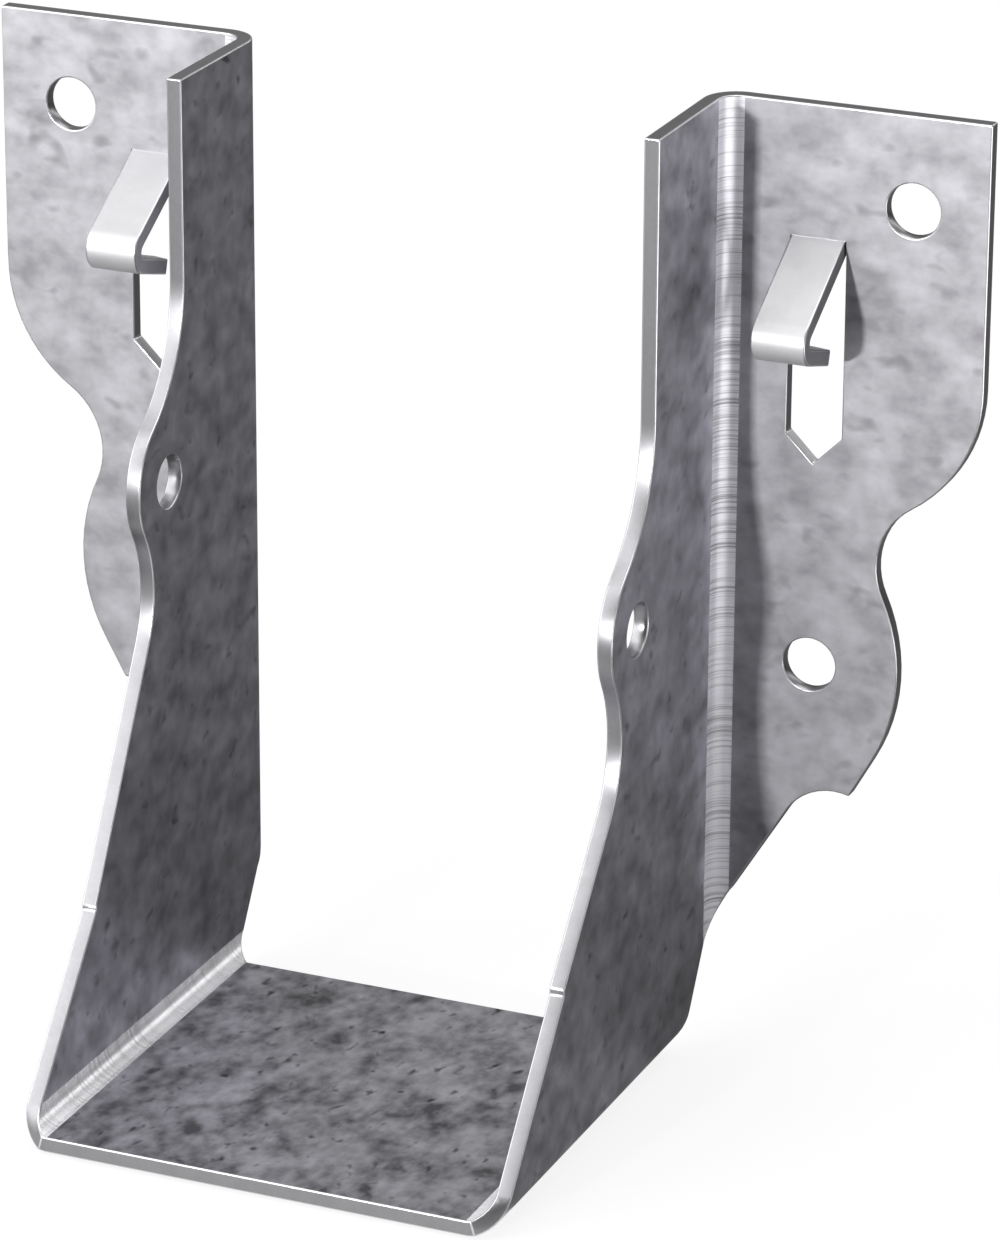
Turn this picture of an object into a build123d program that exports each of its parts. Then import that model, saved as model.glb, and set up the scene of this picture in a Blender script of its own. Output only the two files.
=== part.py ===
from build123d import *
import os
from math import asin, cos, degrees, radians, sin, sqrt, tan

# Joist hanger: a saddle for the end of one joist, blanked, lanced and folded from one
# galvanised steel sheet. Sizes are in millimetres. X runs across the joist, +Y points into
# the header that the hanger is nailed to, and +Z is up. The origin lies on the header's
# face, midway across the joist, level with the underside of the seat.
# A reach is a distance in front of the flanges' front faces, towards the joist.
# A flange offset is a distance outwards from the outer face of a wall.
# A height is a distance above the underside of the seat.

# Sheet
sheet_thickness = 1.31
fold_radius = 1.6                # inside radius of the four long folds
fold_neutral_share = 0.5         # depth of their unstretched layer, in sheet thicknesses

# Channel for the joist
joist_width = 38.1
joist_clearance = 1.59           # both sides together
wall_height = 80.69
seat_reach = 44.45               # front edge of the seat
seat_setback = 7.25              # reach of the seat's rear edge

# Front edge of a wall, from the top down: straight, shoulder, nail bulge, waist, cuts
wall_top_reach = 14.14
shoulder_radius = 13.2
bulge_depth = 8.56               # from the straight part out to the bulge's front
bulge_radius = 6.4
waist_depth = 2.3                # from the bulge's front back into the waist
waist_radius = 9.5
front_cut_angle = 38.95          # lower cut, from the upright
cut_step_height = 15.65          # foot of the upright flat where the two cuts meet
cut_step_length = 0.55

# Joist nails, one through each wall, staggered so that they miss each other
nail_hole_diameter = 4.5
joist_nail_edge_distance = 5.43  # from the hole's centre to the bulge's front
left_nail_height = 47.83
right_nail_height = 41.33

# Rear cut below the flanges: across each flange, round its fold and down the wall
rear_cut_angle = 31.3            # from the upright
flange_cut_height = 12.32        # where it enters the flange's fold
wall_cut_height = 7.5            # where it leaves that fold

# Outer edge of a flange, from the top down: straight, shoulder, waist, bulge, taper, tip
flange_width = 22.2
flange_shoulder_radius = 12.6
flange_waist_depth = 8.54        # from the straight part in to the waist
flange_waist_radius = 6.35
flange_bulge_depth = 2.04        # from the waist out to the bulge's outermost point
flange_bulge_radius = 15.8
taper_angle = 28.9               # straight run from the bulge to the tip, from the upright
taper_length = 3.9
relief_drop = 2.05               # from the tip to where the rear cut turns into an arc

# Header nails, two through each flange
upper_nail_edge_distance = 6.3   # from the flange's straight outer edge
upper_nail_top_distance = 7.72   # from the flange's top edge
lower_nail_edge_distance = 7.6   # from the bulge's outermost point
lower_nail_height = 33.5

# Prong: a tongue lanced out of each flange, bent forward, then folded back to a point
prong_offset = 8.03              # middle of the prong and of the slot that it leaves
slot_width = 4.74
shear_clearance = 0.1            # between the prong and each side of its slot
prong_root_height = 69.79        # top of the slot, where the prong starts to bend out
prong_root_radius = 0.1          # inside radius of that sharp bend
prong_angle = 59.4               # between the flange and the prong's outward leg
outward_leg_length = 9.08        # straight part of that leg
prong_fold_radius = 0.6          # inside radius of the fold at the prong's front
return_angle = 16.5              # of the returning leg, below the level
return_leg_length = 4.5          # straight part of that leg, up to its pointed end
prong_neutral_share = 0.33       # depth of the unstretched layer in both bends

fold_sections = 7                # cross-sections that shape one fold

inner_half_width = (joist_width + joist_clearance) / 2
outer_half_width = inner_half_width + sheet_thickness
outer_fold_radius = fold_radius + sheet_thickness
neutral_fold_radius = fold_radius + fold_neutral_share * sheet_thickness
flange_fold_end = outer_half_width + fold_radius
seat_front = sheet_thickness + seat_reach
seat_rear = sheet_thickness + seat_setback
bulge_reach = wall_top_reach + bulge_depth
waist_reach = bulge_reach - waist_depth
flange_waist_offset = flange_width - flange_waist_depth
flange_bulge_offset = flange_waist_offset + flange_bulge_depth

# Views used for outlines. In the wall's view X is the distance in front of the header's
# face and Y is the height; its plane faces -X. The flange's view is the front view.
wall_view = Plane(origin=(0, 0, 0), x_dir=(0, -1, 0), z_dir=(-1, 0, 0))
flange_view = Plane.XZ


def scalloped_edge(extremes, radii, anchor, anchor_height, end):
    """Edge, from the top down, of three arcs that touch in turn and a straight run to end.

    An arc runs upright at its extreme. Where its radius is positive, its centre lies on
    the sheet's side of the edge. The arc at place anchor is centred at anchor_height.
    """
    across = [extreme - radius for extreme, radius in zip(extremes, radii)]
    reaches = [abs(radius) for radius in radii]
    drops = []
    for upper in (0, 1):
        distance = reaches[upper] + reaches[upper + 1]
        drops.append(sqrt(distance ** 2 - (across[upper] - across[upper + 1]) ** 2))
    top_height = anchor_height + sum(drops[:anchor])
    heights = [top_height, top_height - drops[0], top_height - sum(drops)]
    centres = [Vector(x, y) for x, y in zip(across, heights)]
    touches = []
    for upper in (0, 1):
        share = reaches[upper] / (reaches[upper] + reaches[upper + 1])
        touches.append(centres[upper] + (centres[upper + 1] - centres[upper]) * share)
    leave = tangent_point(centres[2], radii[2], Vector(*end))
    return [
        TangentArc(Vector(extremes[0], heights[0]), touches[0], tangent=(0, -1)),
        ThreePointArc(touches[0], Vector(extremes[1], heights[1]), touches[1]),
        ThreePointArc(touches[1], Vector(extremes[2], heights[2]), leave),
        Line(leave, Vector(*end)),
    ]


def tangent_point(centre, radius, end):
    """Point where the straight run down to end leaves the last arc."""
    to_centre = centre - end
    distance = to_centre.length
    turn = degrees(asin(radius / distance))
    run = to_centre.normalized() * sqrt(distance ** 2 - radius ** 2)
    return end + run.rotate(Axis.Z, -turn)


def folded_strip(pivot, start_angle, end_angle, low, high):
    """Stretch of a fold about the Z axis of pivot, whose X axis points to its first end.

    low and high each give the sheet's edge, along the axis, at both ends of the stretch.
    The edge moves evenly between them, as a straight cut does when the sheet is folded.
    """
    sections = []
    for number in range(fold_sections):
        share = number / (fold_sections - 1)
        angle = radians(start_angle + (end_angle - start_angle) * share)
        bottom = low[0] + (low[1] - low[0]) * share
        top = high[0] + (high[1] - high[0]) * share
        corners = [
            (radius * cos(angle), radius * sin(angle), along)
            for radius, along in (
                (fold_radius, bottom),
                (outer_fold_radius, bottom),
                (outer_fold_radius, top),
                (fold_radius, top),
            )
        ]
        sections.append(make_face(Polyline(*corners, close=True)))
    return pivot * loft(sections)


def seat_plate():
    flat_half_width = inner_half_width - fold_radius
    middle = -(seat_front + seat_rear) / 2
    outline = Pos(0, middle) * Rectangle(2 * flat_half_width, seat_front - seat_rear)
    return extrude(outline, sheet_thickness)


def front_cut_distance(height):
    """Distance of the lower front cut from the header's face."""
    return seat_front - height * tan(radians(front_cut_angle))


def rear_cut_distance(height):
    """Distance of the wall's rear cut from the header's face."""
    return outer_fold_radius + (wall_cut_height - height) * tan(radians(rear_cut_angle))


def seat_fold():
    """Right-hand fold between seat and wall; its front cut begins part of the way round."""
    pivot = Plane(
        origin=(inner_half_width - fold_radius, 0, outer_fold_radius),
        x_dir=(0, 0, -1),
        z_dir=(0, -1, 0),
    )
    cut_start = 90 - degrees(outer_fold_radius / neutral_fold_radius)
    rear_end = rear_cut_distance(outer_fold_radius)
    rear_at_cut = seat_rear + (rear_end - seat_rear) * cut_start / 90
    front_end = front_cut_distance(outer_fold_radius)
    plain = folded_strip(pivot, 0, cut_start, (seat_rear, rear_at_cut), (seat_front, seat_front))
    cut = folded_strip(pivot, cut_start, 90, (rear_at_cut, rear_end), (seat_front, front_end))
    return [plain, cut]


def flange_fold():
    """Right-hand fold between wall and flange, with the rear cut across its foot."""
    pivot = Plane(
        origin=(flange_fold_end, -outer_fold_radius, 0), x_dir=(0, 1, 0), z_dir=(0, 0, 1)
    )
    return folded_strip(
        pivot, 0, 90, (flange_cut_height, wall_cut_height), (wall_height, wall_height)
    )


def wall_plate(outer_x, nail_height):
    """Wall whose face towards +X lies at outer_x, with its joist nail hole."""
    step_foot = (front_cut_distance(cut_step_height), cut_step_height)
    step_top = (step_foot[0], cut_step_height + cut_step_length)
    scallops = scalloped_edge(
        extremes=[
            sheet_thickness + wall_top_reach,
            sheet_thickness + bulge_reach,
            sheet_thickness + waist_reach,
        ],
        radii=[-shoulder_radius, bulge_radius, -waist_radius],
        anchor=1,
        anchor_height=nail_height,
        end=step_top,
    )
    start = scallops[0] @ 0
    rear_top = (outer_fold_radius, wall_height)
    outline = scallops + [
        Polyline(rear_top, (start.X, wall_height), start),
        Polyline(
            step_top,
            step_foot,
            (front_cut_distance(outer_fold_radius), outer_fold_radius),
            (rear_cut_distance(outer_fold_radius), outer_fold_radius),
            (outer_fold_radius, wall_cut_height),
            rear_top,
        ),
    ]
    face = make_face(Curve() + outline)
    nail_distance = sheet_thickness + bulge_reach - joist_nail_edge_distance
    face -= Pos(nail_distance, nail_height) * Circle(nail_hole_diameter / 2)
    return extrude(Pos(outer_x, 0, 0) * (wall_view * face), sheet_thickness)


def flange_tip():
    """Lower end of the taper that leaves the flange's bulge in line with it."""
    centre_x = outer_half_width + flange_bulge_offset - flange_bulge_radius
    outwards = Vector(cos(radians(taper_angle)), -sin(radians(taper_angle)))
    down_the_taper = Vector(-sin(radians(taper_angle)), -cos(radians(taper_angle)))
    bulge_centre = Vector(centre_x, lower_nail_height)
    return bulge_centre + outwards * flange_bulge_radius + down_the_taper * taper_length


def flange_plate():
    """Right-hand flange with its two nail holes and the slot that the prong leaves."""
    tip = flange_tip()
    scallops = scalloped_edge(
        extremes=[
            outer_half_width + flange_width,
            outer_half_width + flange_waist_offset,
            outer_half_width + flange_bulge_offset,
        ],
        radii=[flange_shoulder_radius, -flange_waist_radius, flange_bulge_radius],
        anchor=2,
        anchor_height=lower_nail_height,
        end=tip,
    )
    start = scallops[0] @ 0
    cut_direction = Vector(sin(radians(rear_cut_angle)), cos(radians(rear_cut_angle)))
    cut_foot = Vector(flange_fold_end, flange_cut_height)
    cut_length = (tip.Y - relief_drop - flange_cut_height) / cut_direction.Y
    cut_top = cut_foot + cut_direction * cut_length
    outline = scallops + [
        Polyline(cut_foot, (flange_fold_end, wall_height), (start.X, wall_height), start),
        Line(cut_foot, cut_top),
        TangentArc(cut_top, tip, tangent=cut_direction),
    ]
    face = make_face(Curve() + outline)
    upper_nail_offset = flange_width - upper_nail_edge_distance
    lower_nail_offset = flange_bulge_offset - lower_nail_edge_distance
    for offset, height in (
        (upper_nail_offset, wall_height - upper_nail_top_distance),
        (lower_nail_offset, lower_nail_height),
    ):
        face -= Pos(outer_half_width + offset, height) * Circle(nail_hole_diameter / 2)
    face -= prong_slot()
    return extrude(flange_view * face, sheet_thickness)


def prong_fold_turn():
    """Angle by which the fold turns the outward leg back to the returning one."""
    return 90 + prong_angle - return_angle


def prong_flat_length():
    """Length of the prong before it was bent, from its root to its shoulders."""
    neutral_depth = prong_neutral_share * sheet_thickness
    root_length = (prong_root_radius + neutral_depth) * radians(prong_angle)
    fold_length = (prong_fold_radius + neutral_depth) * radians(prong_fold_turn())
    return root_length + outward_leg_length + fold_length + return_leg_length


def prong_slot():
    """Opening that the prong was lanced from, seen from the front."""
    middle = outer_half_width + prong_offset
    half = slot_width / 2
    shoulder_height = prong_root_height - prong_flat_length() - shear_clearance
    return make_face(
        Polyline(
            (middle - half, prong_root_height),
            (middle + half, prong_root_height),
            (middle + half, shoulder_height),
            (middle, shoulder_height - half),
            (middle - half, shoulder_height),
            close=True,
        )
    )


def prong():
    """Right-hand prong: a bent strip of the sheet's thickness with a pointed end."""
    root_bend = JernArc(
        start=(sheet_thickness / 2, prong_root_height),
        tangent=(0, -1),
        radius=prong_root_radius + sheet_thickness / 2,
        arc_size=prong_angle,
    )
    outward_leg = PolarLine(root_bend @ 1, outward_leg_length, direction=root_bend % 1)
    front_fold = JernArc(
        start=outward_leg @ 1,
        tangent=outward_leg % 1,
        radius=prong_fold_radius + sheet_thickness / 2,
        arc_size=-prong_fold_turn(),
    )
    return_leg = PolarLine(front_fold @ 1, return_leg_length, direction=front_fold % 1)
    side = trace(root_bend + outward_leg + front_fold + return_leg, sheet_thickness)

    centre_x = outer_half_width + prong_offset
    half_width = slot_width / 2 - shear_clearance
    strip = extrude(Pos(centre_x, 0, 0) * (wall_view * side), half_width, both=True)
    shoulder = return_leg @ 1
    leg_plane = Plane(
        origin=(centre_x, -shoulder.X, shoulder.Y),
        x_dir=(1, 0, 0),
        z_dir=(0, sin(radians(return_angle)), cos(radians(return_angle))),
    )
    point = make_face(
        Polyline((-half_width, 0), (half_width, 0), (0, half_width), close=True)
    )
    return strip + extrude(leg_plane * point, sheet_thickness / 2, both=True)


def hanger():
    right_side = [*seat_fold(), flange_fold(), flange_plate(), prong()]
    left_side = [mirror(piece, about=Plane.YZ) for piece in right_side]
    right_wall = wall_plate(outer_half_width, right_nail_height)
    left_wall = wall_plate(-inner_half_width, left_nail_height)
    return seat_plate() + [*right_side, *left_side, right_wall, left_wall]


os.makedirs("parts", exist_ok=True)
export_step(hanger(), "parts/hanger.step")
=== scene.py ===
from math import atan2, cos, degrees, hypot, pi, radians, sin

import bpy
from mathutils import Matrix, Vector


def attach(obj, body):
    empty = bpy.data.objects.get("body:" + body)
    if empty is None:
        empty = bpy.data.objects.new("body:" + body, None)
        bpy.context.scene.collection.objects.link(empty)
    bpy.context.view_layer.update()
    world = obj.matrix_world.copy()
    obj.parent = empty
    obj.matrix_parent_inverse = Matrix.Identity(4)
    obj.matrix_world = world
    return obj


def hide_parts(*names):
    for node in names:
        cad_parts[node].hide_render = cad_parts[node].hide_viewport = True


bl_info = {
    "name": "Folded joist hanger",
    "version": (1, 0, 0),
    "blender": (4, 5, 0),
    "location": "View3D > Sidebar > Hanger",
    "description": "Dresses a folded sheet-steel joist hanger and lights it on a pale floor",
    "category": "Object",
}

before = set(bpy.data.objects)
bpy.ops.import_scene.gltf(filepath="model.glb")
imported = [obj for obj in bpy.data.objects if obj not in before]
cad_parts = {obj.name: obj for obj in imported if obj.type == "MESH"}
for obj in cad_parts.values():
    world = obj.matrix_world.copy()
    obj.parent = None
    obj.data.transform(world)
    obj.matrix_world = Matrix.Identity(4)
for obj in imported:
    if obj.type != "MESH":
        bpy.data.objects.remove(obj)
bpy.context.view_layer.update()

MM = 0.001

# Sizes that tell the faces of the hanger apart, as in the part's source, in millimetres
SHEET_THICKNESS = 1.31
WALL_INNER = 19.845
WALL_OUTER = WALL_INNER + SHEET_THICKNESS
FOLD_RADIUS = 1.6
FOLD_OUTER_RADIUS = FOLD_RADIUS + SHEET_THICKNESS
FLANGE_FOLD_END = WALL_OUTER + FOLD_RADIUS
SEAT_FOLD_END = WALL_INNER - FOLD_RADIUS
PRONG_INNER, PRONG_OUTER = 26.6, 31.8
PRONG_LOW, PRONG_HIGH = 59.0, 70.2
PRONG_ROOT_LOW, PRONG_ROOT_HIGH, PRONG_ROOT_FRONT = 69.3, 69.9, -1.7
FLAT = 0.02                  # how far from its plane a face's middle may lie
ROUND = 0.06                 # how far from its bend a fold's face may lie
SQUARE_ON = 0.999            # a flat face's normal has at least this share of its own direction
ROUND_THE_BEND = 0.2         # a fold's face has less than this share of the fold's own direction
SIDEWAYS = 0.5               # the side of a prong has at least this share of X
SHARP = radians(33)          # two faces that meet at more than this are a cut edge
JOINED_ANGLE = radians(0.5)  # two faces that meet at less than this are one flat face
JOINED_GAP = 0.001 * MM
EDGE_STEPS = 2               # flat strips round a cut edge
FLAT_FACES_FIRST = 100       # a corner takes its shading from the largest face beside it

# Places of the finishes among the piece's materials
FLANGE, WALL, SEAT, UPRIGHT_FOLD, SEAT_FOLD, PRONG, SHEARED, BURR_HIGHLIGHT = range(8)

# Patterns: how many finer layers each has, and how far its clouds are pulled out of shape
PATCH_LAYERS, PATCH_PULL = 1.5, 0.25
GRAIN_LAYERS, GRAIN_PULL = 2.0, 0.0
SMUDGE_LAYERS, SMUDGE_PULL = 1.5, 0.3
LAYER_SHARE = 0.5            # each finer layer's strength, as a share of the one before

# Sockets of a Mix node that mixes colours
MIX_SHARE, MIX_FIRST, MIX_SECOND, MIX_RESULT = 0, 6, 7, 2

WHITE = (1.0, 1.0, 1.0)

# Lamps: the place, the point they face and the two sides, in metres
KEY_LAMP = ((-0.172, -0.975, 0.205), (0, 0, 0.05), (0.055, 0.055))
LEFT_LAMP = ((-0.537, -0.557, 0.484), (0, -0.02, 0), (0.746, 1.147))
TOP_LAMP = ((0, 0.29, 0.95), (0, 0.29, 0), (0.75, 1.4))

# Cards round the hanger that its gloss alone sees. Azimuths run from +Y towards +X, in degrees
CARD_RADIUS = 0.7
CARD_CENTRE = (0, -20 * MM)
CARD_SIDES = 16
CARD_RINGS = 36
CARD_TILT = 0.02 * MM        # a ring on the floor is made as a cone of hardly any height
CARD_DROP = 0.1 * MM         # how far such a ring lies below the seat, which is just above the floor
# Name, two azimuths, the inner and the outer radius in metres, and the brightness
FLOOR_CARDS = (
    ("dim_floor_at_seat", -112.5, 67.5, 0.0, 0.06, 0.12),
    ("dim_floor_behind", -112.5, 67.5, 0.06, 0.7, 0.18),
    ("dim_floor_right", 67.5, 135, 0.0, 0.14, 0.22),
    ("reflector_right", 67.5, 135, 0.14, 0.5, 2.8),
    ("pale_floor_at_front_edge", 135, 247.5, 0.0, 0.06, 0.9),
    ("dim_floor_front_right", 135, 180, 0.06, 0.14, 0.25),
    ("grey_floor_in_front", 180, 225, 0.06, 0.14, 0.7),
    ("dim_floor_front_left", 225, 247.5, 0.06, 0.14, 0.25),
    ("dark_floor_front_right", 135, 180, 0.14, 0.7, 0.03),
    ("grey_floor_front_left", 180, 247.5, 0.14, 0.7, 0.6),
)
# Name, two azimuths, the lower and the upper elevation, and the brightness
UPRIGHT_CARDS = (
    ("dim_card_back_left", -67.5, -22.5, 0, 65, 0.3),
    ("dark_card_back_low", -22.5, 67.5, 0, 15, 0.03),
    ("dim_card_back", -22.5, 0, 15, 40, 0.22),
    ("strip_for_seat_fold", 0, 45, 15, 25, 2.0),
    ("dim_card_back_high", 0, 22.5, 25, 40, 0.15),
    ("grey_card_back_right", 22.5, 67.5, 25, 65, 0.5),
    ("grey_card_right", 67.5, 157.5, 20, 65, 0.4),
    ("grey_card_front_right", 112.5, 157.5, 0, 20, 0.5),
    ("dark_card_in_front", 157.5, 202.5, 0, 65, 0.03),
)

FLOOR_SIZE = 6.0
FLOOR_DROP = 0.3 * MM        # how far the floor lies below the seat, so that the two never touch
FLOOR_GREY = 0.8
FLOOR_GLOW, FLOOR_CATCH = 0.86, 0.13   # what the camera sees: even white, and the share of lamp light

# Camera: the photograph's viewing angle in degrees, where the hanger's origin lies as the camera
# sees it in millimetres, and the lens, with the photograph's height in pixels and the film's in mm
CAMERA_AZIMUTH, CAMERA_ELEVATION, CAMERA_ROLL = 23.12, 21.05, 0.28
CAMERA_SHIFT = (-1.41, -30.19, -509.07)
CAMERA_LENS, PHOTO_HEIGHT, FILM = 5962.78, 1240, 36
CAMERA_NEAR, CAMERA_FAR = 0.01, 20


def linear(colour):
    """Linear red, green and blue of an sRGB hex colour such as #C0C0C4."""
    parts = [int(colour[place:place + 2], 16) / 255 for place in (1, 3, 5)]
    return [part / 12.92 if part <= 0.04045 else ((part + 0.055) / 1.055) ** 2.4 for part in parts]


def colour_setting(name, description, colour):
    """A colour that the user can change, from its sRGB hex value."""
    return bpy.props.FloatVectorProperty(
        name=name, description=description, subtype="COLOR", size=3, min=0, max=1, default=linear(colour)
    )


class FinishSettings(bpy.types.PropertyGroup):
    """Colours of the hanger's finishes and the rounding of its edges."""

    flange_zinc: colour_setting("Flange zinc", "Lightest grey of the flanges' zinc", "#C4C3C8")
    wall_zinc: colour_setting("Wall zinc", "Lightest grey of the walls' zinc", "#D2D1DA")
    seat_zinc: colour_setting("Seat zinc", "Lightest grey of the seat's zinc", "#CCCBD2")
    # The fold greys are paler than the flat zinc: their paleness is a painted highlight along the bends
    upright_fold_zinc_and_highlight: colour_setting("Upright fold", "Grey between an upright fold's streaks", "#E8E7ED")
    seat_fold_zinc_and_highlight: colour_setting("Seat fold", "Grey between a seat fold's streaks", "#FBFAFD")
    prong_zinc: colour_setting("Prong zinc", "Grey of the prongs' rubbed zinc", "#CACACC")
    cut_steel: colour_setting("Cut steel", "Grey of the sheared edges", "#9C9B9E")
    # The burr grey is paler than the cut steel: it paints the thin highlight line along each edge
    burr_highlight: colour_setting("Burr", "Grey of the rounded corners of the cut edges", "#DCDBDE")
    edge_radius: bpy.props.FloatProperty(
        name="Edge radius",
        description="How far the sheet's cut edges are rounded",
        default=0.13 * MM,
        min=0,
        unit="LENGTH",
        precision=5,
    )


class StudioSettings(bpy.types.PropertyGroup):
    """Brightness of the lamps and of the even light."""

    key_level: bpy.props.FloatProperty(
        name="Key", description="Brightness of the small softbox in front", default=570, min=0
    )
    left_level: bpy.props.FloatProperty(
        name="Left softbox", description="Brightness of the softbox at the front left", default=2.0, min=0
    )
    top_level: bpy.props.FloatProperty(
        name="Top softbox", description="Brightness of the softbox overhead", default=1.4, min=0
    )
    fill_level: bpy.props.FloatProperty(
        name="Fill", description="Brightness of the even light from all round", default=0.6, min=0
    )


def add_node(tree, kind, inputs, **settings):
    """Adds a node, sets its own settings, and sets each named input or links it to a socket."""
    node = tree.nodes.new(kind)
    for name, value in settings.items():
        setattr(node, name, value)
    for name, value in inputs.items():
        if isinstance(value, bpy.types.NodeSocket):
            tree.links.new(value, node.inputs[name])
        else:
            node.inputs[name].default_value = value
    return node


def new_material(name):
    """A material with an empty node tree and its output node."""
    material = bpy.data.materials.new(name)
    material.use_nodes = True
    material.node_tree.nodes.clear()
    return material, add_node(material.node_tree, "ShaderNodeOutputMaterial", {})


def clouds(tree, place, size, layers, pull):
    """Cloudy pattern whose clouds are of the given size along X, Y and Z, in millimetres."""
    scaled = add_node(
        tree, "ShaderNodeMapping", {"Vector": place, "Scale": [1 / (MM * length) for length in size]}
    ).outputs["Vector"]
    return add_node(
        tree, "ShaderNodeTexNoise",
        {"Vector": scaled, "Scale": 1.0, "Detail": layers, "Roughness": LAYER_SHARE, "Distortion": pull},
    ).outputs["Fac"]


def shaded(colour, share):
    """The colour dimmed to a share of itself, with an alpha of 1."""
    return [part * share for part in colour] + [1.0]


def zinc_skin(name, light, dull, patch, grain, grain_share, span, rough, relief, smudges=None, metallic=1.0):
    """Metal skin of the sheet: soft patches between two greys, with a finer grain over them.

    dull is the darker grey's share of the light one. patch and grain are sizes along X, Y and Z
    in millimetres, span is the part of the clouds that goes from dull to light, rough is the
    roughness at the dull and at the light end, and relief is the grain's height in millimetres.
    smudges, where the skin has them, are a size, the part of the clouds over which they darken,
    and their share of the light grey.
    """
    material, output = new_material(name)
    tree = material.node_tree
    place = add_node(tree, "ShaderNodeTexCoord", {}).outputs["Object"]
    patches = clouds(tree, place, patch, PATCH_LAYERS, PATCH_PULL)
    grains = clouds(tree, place, grain, GRAIN_LAYERS, GRAIN_PULL)
    mixed = add_node(
        tree, "ShaderNodeMix", {"Factor": grain_share, "A": patches, "B": grains}, data_type="FLOAT"
    ).outputs["Result"]
    spread = add_node(
        tree, "ShaderNodeMapRange", {"Value": mixed, "From Min": span[0], "From Max": span[1]}
    ).outputs["Result"]
    colour = add_node(
        tree, "ShaderNodeMix",
        {MIX_SHARE: spread, MIX_FIRST: shaded(light, dull), MIX_SECOND: shaded(light, 1.0)},
        data_type="RGBA",
    ).outputs[MIX_RESULT]
    if smudges:
        size, depth, share = smudges
        spots = clouds(tree, place, size, SMUDGE_LAYERS, SMUDGE_PULL)
        inside = add_node(
            tree, "ShaderNodeMapRange", {"Value": spots, "From Min": depth[0], "From Max": depth[1]}
        ).outputs["Result"]
        colour = add_node(
            tree, "ShaderNodeMix",
            {MIX_SHARE: inside, MIX_FIRST: colour, MIX_SECOND: shaded(light, share)},
            data_type="RGBA",
        ).outputs[MIX_RESULT]
    gloss = add_node(
        tree, "ShaderNodeMapRange", {"Value": spread, "To Min": rough[0], "To Max": rough[1]}
    ).outputs["Result"]
    surface = add_node(
        tree, "ShaderNodeBump", {"Height": mixed, "Distance": relief * MM, "Strength": 1.0}
    ).outputs["Normal"]
    shader = add_node(
        tree, "ShaderNodeBsdfPrincipled",
        {"Base Color": colour, "Metallic": metallic, "Roughness": gloss, "Normal": surface},
    )
    tree.links.new(shader.outputs["BSDF"], output.inputs["Surface"])
    return material


def flange_finish(finish):
    # Hot-dip zinc as it left the bath: nearly matt, with low soft clouds and a few dull smudges
    return zinc_skin(
        "hot_dip_zinc_flange", finish.flange_zinc, dull=0.55, patch=(3.8, 3.8, 3.0), grain=(1.3, 1.3, 1.0),
        grain_share=0.33, span=(0.3, 0.7), rough=(0.55, 0.49), relief=0.001,
        smudges=((3.0, 3.0, 2.0), (0.62, 0.85), 0.4),
    )


def wall_finish(finish):
    # Hot-dip zinc that the press slid over: a little glossier, so the clouds show as darker spots
    return zinc_skin(
        "hot_dip_zinc_wall", finish.wall_zinc, dull=0.4, patch=(4.0, 3.8, 2.8), grain=(1.3, 1.3, 1.3),
        grain_share=0.3, span=(0.3, 0.7), rough=(0.47, 0.38), relief=0.001,
        smudges=((1.6, 1.8, 1.4), (0.64, 0.85), 0.2),
    )


def seat_finish(finish):
    # Hot-dip zinc that lay flat while it set: round flakes, dark gaps between them and small dark specks
    return zinc_skin(
        "hot_dip_zinc_seat", finish.seat_zinc, dull=0.17, patch=(2.6, 4.0, 3.0), grain=(0.9, 1.3, 1.0),
        grain_share=0.35, span=(0.33, 0.67), rough=(0.48, 0.36), relief=0.001,
        smudges=((1.2, 2.0, 1.3), (0.63, 0.76), 0.08),
    )


def upright_fold_finish(finish):
    # Zinc stretched round a bend cracks in fine lines across it, which makes it more matt. Its grey is paler
    # than the flat zinc, a painted highlight that keeps the bend pale all over. The cracks are finer than
    # 0.05 mm and are drawn 0.13 mm wide to show
    return zinc_skin(
        "stretched_zinc_and_painted_highlight_upright_fold", finish.upright_fold_zinc_and_highlight, dull=0.4, patch=(9.0, 9.0, 3.5),
        grain=(9.0, 9.0, 0.13), grain_share=0.7, span=(0.33, 0.52), rough=(0.42, 0.36), relief=0.001,
        metallic=0.5,
    )


def seat_fold_finish(finish):
    # The same cracked zinc along the seat, painted paler still: its near-white grey is a painted highlight
    # along the bend
    return zinc_skin(
        "stretched_zinc_and_painted_highlight_seat_fold", finish.seat_fold_zinc_and_highlight, dull=0.5, patch=(9.0, 3.5, 9.0),
        grain=(9.0, 0.13, 9.0), grain_share=0.7, span=(0.33, 0.52), rough=(0.30, 0.26), relief=0.001,
        metallic=0.45,
    )


def prong_finish(finish):
    # Zinc rubbed by the forming punch: an even pale face, with only a breath of clouding
    return zinc_skin(
        "burnished_zinc_prong", finish.prong_zinc, dull=0.85, patch=(3.0, 3.0, 3.0), grain=(0.6, 0.6, 0.6),
        grain_share=0.3, span=(0.2, 0.8), rough=(0.52, 0.48), relief=0.001, metallic=0.7,
    )


def sheared_finish(finish):
    # Bare steel smeared by the blade: an even, darker grey that mirrors softly along the cut.
    # Its grain is finer than 0.1 mm and is drawn 0.3 mm coarse to show
    return zinc_skin(
        "sheared_steel_edge", finish.cut_steel, dull=0.8, patch=(2.0, 2.0, 2.0), grain=(0.3, 0.3, 0.3),
        grain_share=0.4, span=(0.2, 0.8), rough=(0.34, 0.30), relief=0.0005,
    )


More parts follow.
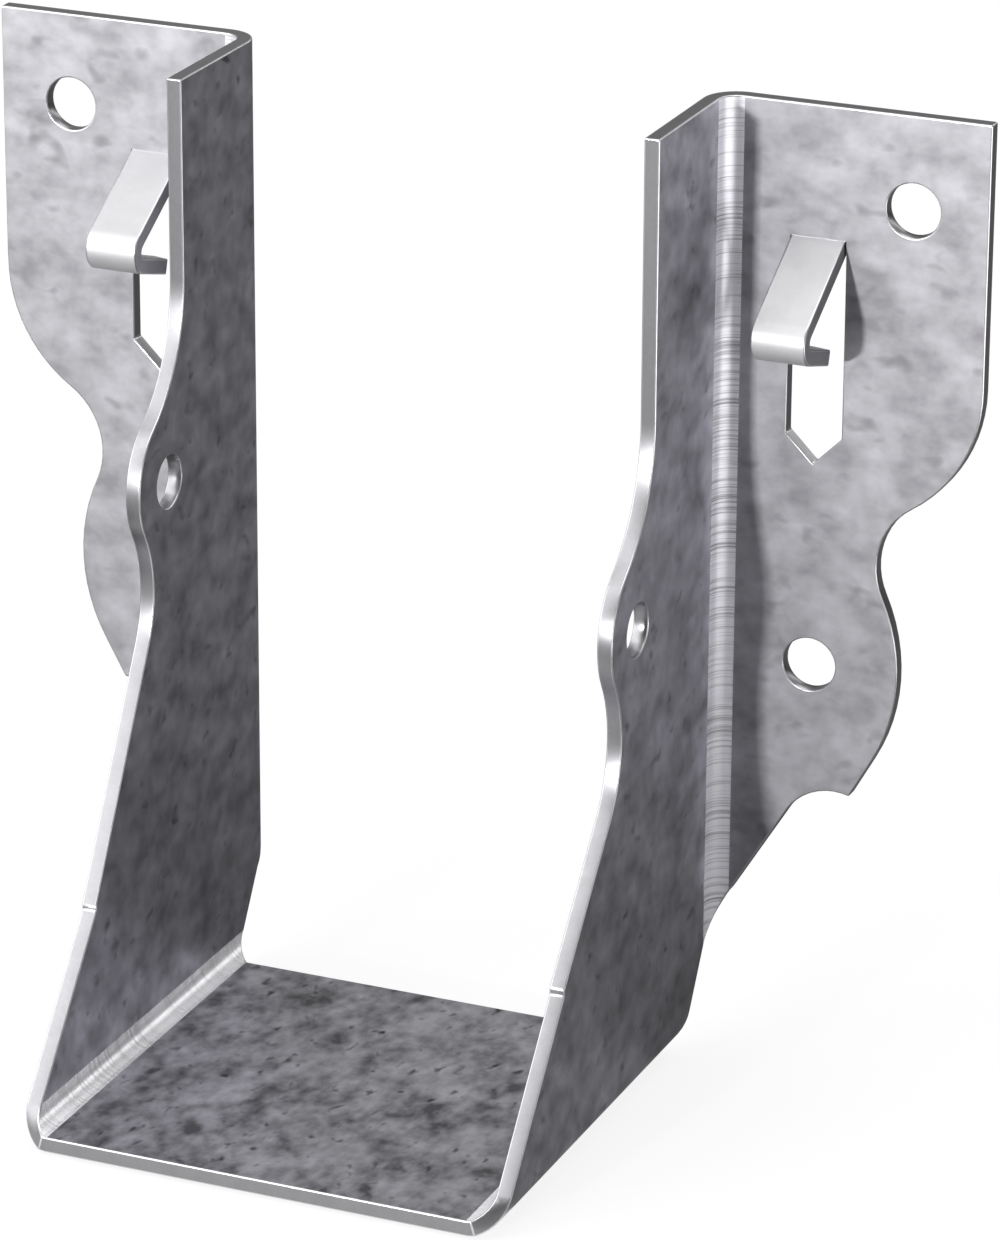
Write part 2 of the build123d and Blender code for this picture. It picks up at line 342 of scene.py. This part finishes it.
def burr_highlight_finish(finish):
    # Corners of the cut, a little rubbed, in a paler grey that is a painted highlight: the thin light line
    # along every edge
    return zinc_skin(
        "rubbed_steel_corner_with_painted_highlight", finish.burr_highlight, dull=0.8, patch=(2.0, 2.0, 2.0), grain=(0.3, 0.3, 0.3),
        grain_share=0.4, span=(0.2, 0.8), rough=(0.34, 0.30), relief=0.0005,
    )


# In the order of the finishes' places above
FINISHES = (
    flange_finish, wall_finish, seat_finish, upright_fold_finish, seat_fold_finish,
    prong_finish, sheared_finish, burr_highlight_finish,
)


def finish_of(centre, normal):
    """Place of the finish of one face, told by where its middle lies and which way it faces."""
    x, y, z = abs(centre.x) / MM, centre.y / MM, centre.z / MM
    across, along, up = abs(normal.x), abs(normal.y), abs(normal.z)
    if PRONG_INNER < x < PRONG_OUTER and y < -SHEET_THICKNESS - FLAT and PRONG_LOW < z < PRONG_HIGH:
        return PRONG if across < SIDEWAYS else SHEARED
    if across > SQUARE_ON and min(abs(x - WALL_INNER), abs(x - WALL_OUTER)) < FLAT:
        return WALL
    if along > SQUARE_ON and x > FLANGE_FOLD_END - FLAT and min(abs(y), abs(y + SHEET_THICKNESS)) < FLAT:
        return FLANGE
    if up > SQUARE_ON and x < SEAT_FOLD_END + FLAT and min(abs(z), abs(z - SHEET_THICKNESS)) < FLAT:
        return SEAT
    if up < ROUND_THE_BEND and x < FLANGE_FOLD_END and y > -FOLD_OUTER_RADIUS:
        reach = hypot(x - FLANGE_FOLD_END, y + FOLD_OUTER_RADIUS)
        if abs(reach - FOLD_RADIUS) < ROUND:
            return UPRIGHT_FOLD
        if abs(reach - FOLD_OUTER_RADIUS) < ROUND:
            return WALL
    if along < ROUND_THE_BEND and x > SEAT_FOLD_END and z < FOLD_OUTER_RADIUS:
        reach = hypot(x - SEAT_FOLD_END, z - FOLD_OUTER_RADIUS)
        if abs(reach - FOLD_RADIUS) < ROUND:
            return SEAT_FOLD
        if abs(reach - FOLD_OUTER_RADIUS) < ROUND:
            return WALL
    return SHEARED


def weigh_cut_edges(mesh):
    """Marks the sharp edges for rounding, apart from the tight bend at a prong's root."""
    weights = mesh.attributes.new("bevel_weight_edge", "FLOAT", "EDGE")
    faces = {}
    for face in mesh.polygons:
        for key in face.edge_keys:
            faces.setdefault(key, []).append(face.normal)
    for edge in mesh.edges:
        pair = faces.get(edge.key, [])
        if len(pair) != 2:
            raise RuntimeError("the folded sheet has an open edge")
        middle = (mesh.vertices[edge.vertices[0]].co + mesh.vertices[edge.vertices[1]].co) / 2
        at_root = (
            PRONG_INNER < abs(middle.x) / MM < PRONG_OUTER
            and middle.y / MM > PRONG_ROOT_FRONT
            and PRONG_ROOT_LOW < middle.z / MM < PRONG_ROOT_HIGH
        )
        sharp = pair[0].angle(pair[1]) > SHARP
        weights.data[edge.index].value = 1.0 if sharp and not at_root else 0.0
        edge.use_edge_sharp = sharp and at_root


class HANGER_OT_folded_sheet(bpy.types.Operator):
    """Copies the folded sheet, gives each of its faces a finish and rounds its cut edges"""

    bl_idname = "hanger.folded_sheet"
    bl_label = "Folded sheet"

    def execute(self, context):
        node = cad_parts["hanger"]
        bpy.ops.object.select_all(action="DESELECT")
        node.select_set(True)
        context.view_layer.objects.active = node
        bpy.ops.object.duplicate()
        piece = context.view_layer.objects.active
        piece.name = "folded_joist_hanger"
        piece.data.name = "folded_joist_hanger"
        for key in list(piece.keys()):
            if key.startswith("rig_"):
                del piece[key]
        piece.parent = None
        bpy.ops.object.mode_set(mode="EDIT")
        bpy.ops.mesh.select_all(action="SELECT")
        bpy.ops.mesh.remove_doubles(threshold=JOINED_GAP)
        bpy.ops.mesh.dissolve_limited(angle_limit=JOINED_ANGLE)
        bpy.ops.object.mode_set(mode="OBJECT")
        mesh = piece.data
        mesh.materials.clear()
        finish = context.scene.hanger_finish
        for make_finish in FINISHES:
            mesh.materials.append(make_finish(finish))
        for face in mesh.polygons:
            face.material_index = finish_of(face.center, face.normal)
            face.use_smooth = True
        weigh_cut_edges(mesh)
        rounding = piece.modifiers.new("cut edges", "BEVEL")
        rounding.width = finish.edge_radius
        rounding.segments = EDGE_STEPS
        rounding.limit_method = "WEIGHT"
        rounding.use_clamp_overlap = False
        # The rounded corners take the pale grey that paints each edge's highlight line
        rounding.material = BURR_HIGHLIGHT
        bpy.ops.object.modifier_apply(modifier=rounding.name)
        shading = piece.modifiers.new("flat faces", "WEIGHTED_NORMAL")
        shading.weight = FLAT_FACES_FIRST
        shading.keep_sharp = True
        bpy.ops.object.modifier_apply(modifier=shading.name)
        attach(piece, "root")
        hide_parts("hanger")
        return {"FINISHED"}


def light_path_share(tree):
    """1 for the rays of the camera, gloss and glass, which see a plain white background."""
    path = add_node(tree, "ShaderNodeLightPath", {})
    seen = add_node(
        tree, "ShaderNodeMath",
        {0: path.outputs["Is Camera Ray"], 1: path.outputs["Is Glossy Ray"]}, operation="ADD",
    )
    return add_node(
        tree, "ShaderNodeMath",
        {0: seen.outputs[0], 1: path.outputs["Is Transmission Ray"]}, operation="ADD", use_clamp=True,
    ).outputs[0]


def plain_emission(name, level):
    """A material that only glows, evenly and white."""
    material, output = new_material(name)
    glow = add_node(material.node_tree, "ShaderNodeEmission", {"Strength": level})
    material.node_tree.links.new(glow.outputs[0], output.inputs["Surface"])
    return material


class HANGER_OT_studio(bpy.types.Operator):
    """Makes the pale floor, the even light, the softboxes, the reflection cards and the camera"""

    bl_idname = "hanger.studio"
    bl_label = "Studio"

    def execute(self, context):
        levels = context.scene.hanger_studio
        self.sky(context.scene, levels.fill_level)
        self.floor()
        self.cards()
        self.softbox("key_softbox", KEY_LAMP, levels.key_level)
        self.softbox("left_softbox", LEFT_LAMP, levels.left_level)
        self.softbox("top_softbox", TOP_LAMP, levels.top_level)
        self.camera(context.scene)
        return {"FINISHED"}

    def sky(self, scene, fill):
        """Even light from all round, and plain white for what looks past the hanger."""
        world = bpy.data.worlds.new("studio")
        world.use_nodes = True
        tree = world.node_tree
        tree.nodes.clear()
        even = add_node(tree, "ShaderNodeBackground", {"Color": shaded(WHITE, 1.0), "Strength": fill})
        seen = add_node(tree, "ShaderNodeBackground", {"Color": shaded(WHITE, 1.0), "Strength": 1.0})
        mixed = add_node(
            tree, "ShaderNodeMixShader", {0: light_path_share(tree), 1: even.outputs[0], 2: seen.outputs[0]}
        )
        add_node(tree, "ShaderNodeOutputWorld", {"Surface": mixed.outputs[0]})
        scene.world = world

    def floor(self):
        """Pale floor that looks white and keeps a faint shadow of the hanger."""
        bpy.ops.mesh.primitive_plane_add(size=FLOOR_SIZE, location=(0, 0, -FLOOR_DROP))
        floor = bpy.context.view_layer.objects.active
        floor.name = "floor"
        bpy.ops.object.transform_apply(location=True, rotation=False, scale=False)
        material, output = new_material("pale_floor")
        tree = material.node_tree
        matt = add_node(tree, "ShaderNodeBsdfDiffuse", {"Color": shaded(WHITE, FLOOR_GREY)})
        faint = add_node(tree, "ShaderNodeBsdfDiffuse", {"Color": shaded(WHITE, FLOOR_CATCH)})
        white = add_node(tree, "ShaderNodeEmission", {"Strength": FLOOR_GLOW})
        seen = add_node(tree, "ShaderNodeAddShader", {0: faint.outputs[0], 1: white.outputs[0]})
        mixed = add_node(
            tree, "ShaderNodeMixShader", {0: light_path_share(tree), 1: matt.outputs[0], 2: seen.outputs[0]}
        )
        tree.links.new(mixed.outputs[0], output.inputs["Surface"])
        floor.data.materials.append(material)

    def cards(self):
        """Cards on the floor and round the hanger, with gaps for the softboxes.

        The steel's gloss alone sees them: they are what keeps a bright metal from looking flat.
        """
        for name, start, end, inner, outer, level in FLOOR_CARDS:
            bpy.ops.mesh.primitive_cone_add(
                vertices=CARD_SIDES, radius1=outer, radius2=inner, depth=CARD_TILT,
                end_fill_type="NOTHING", location=(*CARD_CENTRE, -CARD_DROP),
            )
            self.cut_card(name, level, start, end, -90, 90)
        for name, start, end, low, high, level in UPRIGHT_CARDS:
            bpy.ops.mesh.primitive_uv_sphere_add(
                segments=CARD_SIDES, ring_count=CARD_RINGS, radius=CARD_RADIUS, location=(*CARD_CENTRE, 0)
            )
            self.cut_card(name, level, start, end, low, high)

    def cut_card(self, name, level, start, end, low, high):
        """Cuts a new primitive down to its faces between two azimuths and two elevations."""
        card = bpy.context.view_layer.objects.active
        card.name = name
        bpy.ops.object.transform_apply(location=True, rotation=False, scale=False)
        bpy.ops.object.mode_set(mode="EDIT")
        bpy.ops.mesh.select_mode(type="FACE")
        bpy.ops.mesh.select_all(action="DESELECT")
        bpy.ops.object.mode_set(mode="OBJECT")
        for face in card.data.polygons:
            across, along = face.center.x - CARD_CENTRE[0], face.center.y - CARD_CENTRE[1]
            azimuth = degrees(atan2(across, along)) % 360
            rise = degrees(atan2(face.center.z, hypot(across, along)))
            between = start < azimuth < end or start < azimuth - 360 < end
            face.select = not (between and low < rise < high)
        bpy.ops.object.mode_set(mode="EDIT")
        bpy.ops.mesh.delete(type="FACE")
        bpy.ops.object.mode_set(mode="OBJECT")
        card.data.materials.append(plain_emission(name, level))
        card.visible_camera = False
        card.visible_diffuse = False
        card.visible_shadow = False
        card.visible_transmission = False

    def softbox(self, name, lamp_place, level):
        """A rectangular lamp whose face is of the given brightness."""
        place, aim, size = lamp_place
        bpy.ops.object.light_add(type="AREA", location=place)
        lamp = bpy.context.view_layer.objects.active
        lamp.name = name
        lamp.rotation_mode = "QUATERNION"
        lamp.rotation_quaternion = (Vector(place) - Vector(aim)).to_track_quat("Z", "Y")
        lamp.data.shape = "RECTANGLE"
        lamp.data.size, lamp.data.size_y = size
        lamp.data.energy = level * pi * size[0] * size[1]

    def camera(self, scene):
        """Camera at the photograph's place, to the right of the hanger and above it."""
        azimuth, elevation, roll = (radians(a) for a in (CAMERA_AZIMUTH, CAMERA_ELEVATION, CAMERA_ROLL))
        back = Vector((sin(azimuth) * cos(elevation), -cos(azimuth) * cos(elevation), sin(elevation)))
        right = Vector((cos(azimuth), sin(azimuth), 0))
        up = back.cross(right)
        side = right * cos(roll) + up * sin(roll)
        top = up * cos(roll) - right * sin(roll)
        turn = Matrix((side, top, back)).transposed()
        place = -(turn @ (Vector(CAMERA_SHIFT) * MM))
        bpy.ops.object.camera_add()
        camera = bpy.context.view_layer.objects.active
        camera.matrix_world = Matrix.LocRotScale(place, turn.to_quaternion(), None)
        camera.data.sensor_width = FILM
        camera.data.lens = CAMERA_LENS * FILM / PHOTO_HEIGHT
        camera.data.clip_start, camera.data.clip_end = CAMERA_NEAR, CAMERA_FAR
        scene.camera = camera


class HANGER_PT_panel(bpy.types.Panel):
    """Lists the settings and the buttons in the 3D view's sidebar"""

    bl_idname = "HANGER_PT_panel"
    bl_label = "Joist hanger"
    bl_space_type = "VIEW_3D"
    bl_region_type = "UI"
    bl_category = "Hanger"

    def draw(self, context):
        layout = self.layout
        for name in FinishSettings.__annotations__:
            layout.prop(context.scene.hanger_finish, name)
        layout.operator(HANGER_OT_folded_sheet.bl_idname)
        for name in StudioSettings.__annotations__:
            layout.prop(context.scene.hanger_studio, name)
        layout.operator(HANGER_OT_studio.bl_idname)


CLASSES = (FinishSettings, StudioSettings, HANGER_OT_folded_sheet, HANGER_OT_studio, HANGER_PT_panel)


def register():
    for cls in CLASSES:
        bpy.utils.register_class(cls)
    bpy.types.Scene.hanger_finish = bpy.props.PointerProperty(type=FinishSettings)
    bpy.types.Scene.hanger_studio = bpy.props.PointerProperty(type=StudioSettings)


def unregister():
    del bpy.types.Scene.hanger_studio
    del bpy.types.Scene.hanger_finish
    for cls in reversed(CLASSES):
        bpy.utils.unregister_class(cls)


def main():
    register()
    bpy.context.scene.view_settings.view_transform = "Standard"
    bpy.ops.hanger.folded_sheet()
    bpy.ops.hanger.studio()


if __name__ == "__main__":
    main()
